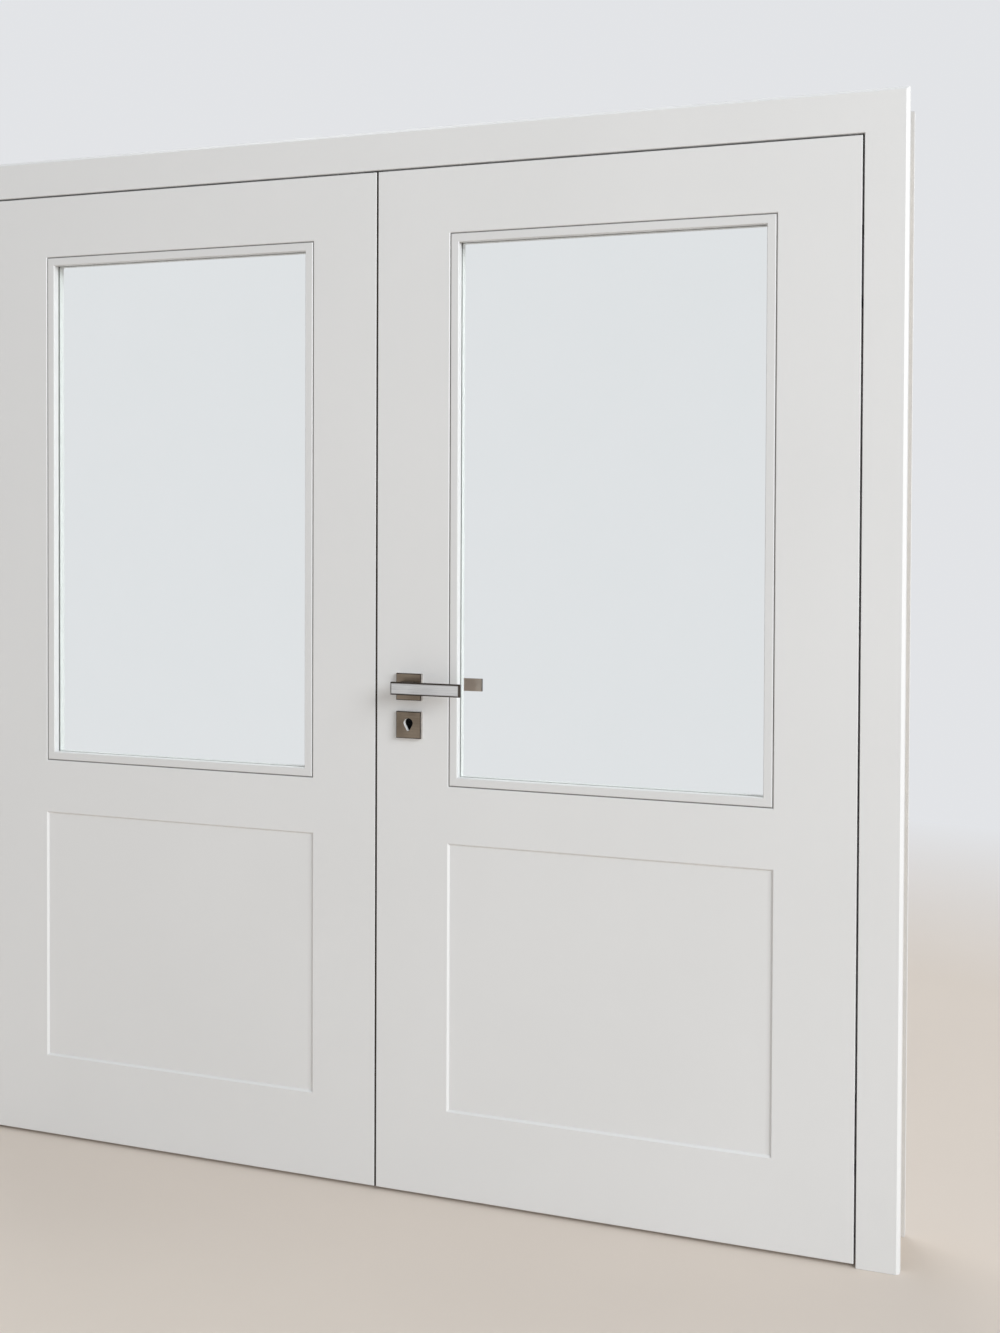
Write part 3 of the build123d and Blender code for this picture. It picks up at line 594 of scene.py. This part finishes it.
def hinge_ends(node):
    """The heights of the screws at both ends of each of the two hinges on a side."""
    bottom, top = plate_ends(node)
    return bottom, bottom + HINGE_SCREW_SPACING, top - HINGE_SCREW_SPACING, top


def make_side_screws(name, node, side, heights, radius, body):
    """Screws up the middle of a node's face towards -X or +X."""
    low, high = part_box(node)
    face = high.x if side > 0 else low.x
    depth = (low.y + high.y) / 2
    make_screws(name, [Vector((face, depth, z)) for z in heights], (side, 0, 0), radius, body)


def make_hinge_screws():
    """The screws at the ends of the hinge cups, in the frame and in the leaves."""
    for side, name, leaf in ((-1, "left", "passive_leaf"), (1, "right", "active_leaf")):
        for part, way, body in (("frame", -side, "frame"), ("leaf", side, leaf)):
            cups = f"hinge_cups_{part}_{name}"
            make_side_screws(
                f"hinge_screws_{part}_{name}", cups, way, hinge_ends(cups),
                HINGE_SCREW_RADIUS, body)


def make_plate_screws():
    """The screws of the forend, the strike plates and the flush bolts."""
    make_side_screws(
        "forend_screws", "lock_forend", -1, plate_ends("lock_forend"),
        PLATE_SCREW_RADIUS, "active_leaf")
    for node in ("strike_plate", "flush_bolt_body_top", "flush_bolt_body_bottom"):
        make_side_screws(
            f"{node}_screws", node, 1, plate_ends(node), PLATE_SCREW_RADIUS, "passive_leaf")
    low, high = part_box("head_strike_plate")
    depth = (low.y + high.y) / 2
    ends = (low.x + STRIKE_SCREW_INSET, high.x - STRIKE_SCREW_INSET)
    make_screws(
        "head_strike_screws",
        [Vector((x, depth, low.z)) for x in ends],
        (0, 0, -1), PLATE_SCREW_RADIUS, "frame")


def make_grub_screws():
    """The grub screws under the necks of both levers."""
    axis = box_middle("spindle")
    low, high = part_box("active_slab")
    depths = (low.y - GRUB_REACH, high.y + GRUB_REACH)
    make_screws(
        "lever_grub_screws",
        [Vector((axis.x, y, axis.z - GRUB_DROP)) for y in depths],
        (0, 0, -1), GRUB_RADIUS, "handle", hexagon_outline)


# Seal between the leaves


def make_seal_lip():
    """The thin front lip of the seal on the passive leaf's edge, which closes most of the gap:
    partly a seal, and partly a dark sheet that stands in for the shade deep in the gap.
    """
    low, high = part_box("meeting_seal")
    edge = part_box("passive_slab")[1].x
    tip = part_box("active_slab")[0].x - LIP_CLEARANCE
    radius = (LIP_BACK - LIP_FRONT) / 2
    middle = (LIP_FRONT + LIP_BACK) / 2
    outline = [(edge, LIP_BACK), (edge, LIP_FRONT)]
    for k in range(LIP_STEPS + 1):
        angle = math.pi * (k / LIP_STEPS - 0.5)
        outline.append((tip - radius + radius * math.cos(angle), middle + radius * math.sin(angle)))
    mesh = bmesh.new()
    ends = [[mesh.verts.new((x, y, z)) for x, y in outline] for z in (low.z, high.z)]
    join_rings(mesh, *ends)
    for end in ends:
        mesh.faces.new(end)
    piece = make_piece("meeting_seal_lip", mesh, MATERIALS["dark_seal"])
    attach(piece, "passive_leaf")


# Camera, floor and light


def make_camera():
    """The camera, where the photograph was taken from."""
    yaw, pitch, roll = CAMERA_YAW, CAMERA_PITCH, CAMERA_ROLL
    forward = Vector((
        math.sin(yaw) * math.cos(pitch), math.cos(yaw) * math.cos(pitch), math.sin(pitch)))
    level = forward.cross(Vector((0, 0, 1))).normalized()
    upright = level.cross(forward)
    right = level * math.cos(roll) + upright * math.sin(roll)
    up = upright * math.cos(roll) - level * math.sin(roll)
    data = bpy.data.cameras.new("camera")
    data.sensor_fit = "AUTO"
    data.sensor_width = CAMERA_SENSOR
    data.lens = CAMERA_LENS
    data.shift_y = CAMERA_SHIFT_Y
    data.clip_end = CAMERA_CLIP_END
    camera = bpy.data.objects.new("camera", data)
    turn = Matrix((right, up, -forward)).transposed().to_4x4()
    camera.matrix_world = Matrix.Translation(CAMERA_PLACE) @ turn
    bpy.context.scene.collection.objects.link(camera)
    bpy.context.scene.camera = camera


def seen_rays(nodes, links):
    """1 for the rays that show a background: from the camera, from gloss and through glass."""
    path = nodes.new("ShaderNodeLightPath")
    total = path.outputs["Is Camera Ray"]
    for name in ("Is Glossy Ray", "Is Transmission Ray"):
        most = nodes.new("ShaderNodeMath")
        most.operation = "MAXIMUM"
        links.new(total, most.inputs[0])
        links.new(path.outputs[name], most.inputs[1])
        total = most.outputs["Value"]
    return total


def make_world():
    """Even light from all round, and a plain background for the rays that show it."""
    world = bpy.data.worlds.new("world")
    bpy.context.scene.world = world
    world.use_nodes = True
    nodes, links = world.node_tree.nodes, world.node_tree.links
    ambient = nodes["Background"]
    ambient.inputs["Color"].default_value = AMBIENT_COLOUR
    ambient.inputs["Strength"].default_value = AMBIENT_LEVEL
    seen = nodes.new("ShaderNodeBackground")
    seen.inputs["Color"].default_value = (*BACKGROUND, 1.0)
    mixed = nodes.new("ShaderNodeMixShader")
    links.new(seen_rays(nodes, links), mixed.inputs["Fac"])
    links.new(ambient.outputs["Background"], mixed.inputs[1])
    links.new(seen.outputs["Background"], mixed.inputs[2])
    links.new(mixed.outputs["Shader"], nodes["World Output"].inputs["Surface"])


def make_floor():
    """A pale floor that turns to the background's colour away from the object."""
    mesh = bmesh.new()
    bmesh.ops.create_grid(mesh, x_segments=1, y_segments=1, size=FLOOR_HALF)
    data = bpy.data.meshes.new("floor")
    mesh.to_mesh(data)
    mesh.free()
    floor = bpy.data.objects.new("floor", data)
    floor.location.z = -FLOOR_DROP
    bpy.context.scene.collection.objects.link(floor)
    nodes = Nodes("floor")
    cloud = nodes.remap(nodes.noise(1.3, detail=4.0), 0.0, 1.0)
    nodes.set("Base Color", nodes.mix(cloud, FLOOR_COLOUR, FLOOR_LIGHT))
    nodes.set("Roughness", FLOOR_ROUGHNESS)
    length = nodes.node("ShaderNodeVectorMath", operation="LENGTH")
    nodes.link(nodes.place, length.inputs[0])
    away = nodes.remap(length.outputs["Value"], 0.0, 1.0, FLOOR_FADE_START, FLOOR_FADE_END)
    seen = seen_rays(nodes.tree.nodes, nodes.tree.links)
    fade = nodes.maths("MULTIPLY", away, seen)
    far = nodes.node("ShaderNodeEmission")
    far.inputs["Color"].default_value = (*BACKGROUND, 1.0)
    mixed = nodes.node("ShaderNodeMixShader")
    nodes.link(fade, mixed.inputs["Fac"])
    nodes.link(nodes.shader.outputs["BSDF"], mixed.inputs[1])
    nodes.link(far.outputs["Emission"], mixed.inputs[2])
    nodes.link(mixed.outputs["Shader"], nodes.tree.nodes["Material Output"].inputs["Surface"])
    data.materials.append(nodes.material)


def make_lamps():
    """Large, soft lamps."""
    for name, place, width, power, colour in LAMPS:
        data = bpy.data.lights.new(name, "AREA")
        data.shape = "SQUARE"
        data.size = width
        data.energy = power
        data.color = colour
        lamp = bpy.data.objects.new(name, data)
        aim = Vector(LAMP_TARGET) - Vector(place)
        turn = aim.to_track_quat("-Z", "Y").to_matrix().to_4x4()
        lamp.matrix_world = Matrix.Translation(place) @ turn
        lamp.visible_camera = False
        bpy.context.scene.collection.objects.link(lamp)


bpy.context.scene.view_settings.view_transform = "Standard"
make_camera()
make_world()
make_floor()
make_lamps()
dress_nodes()
make_hinge_screws()
make_plate_screws()
make_grub_screws()
make_seal_lip()
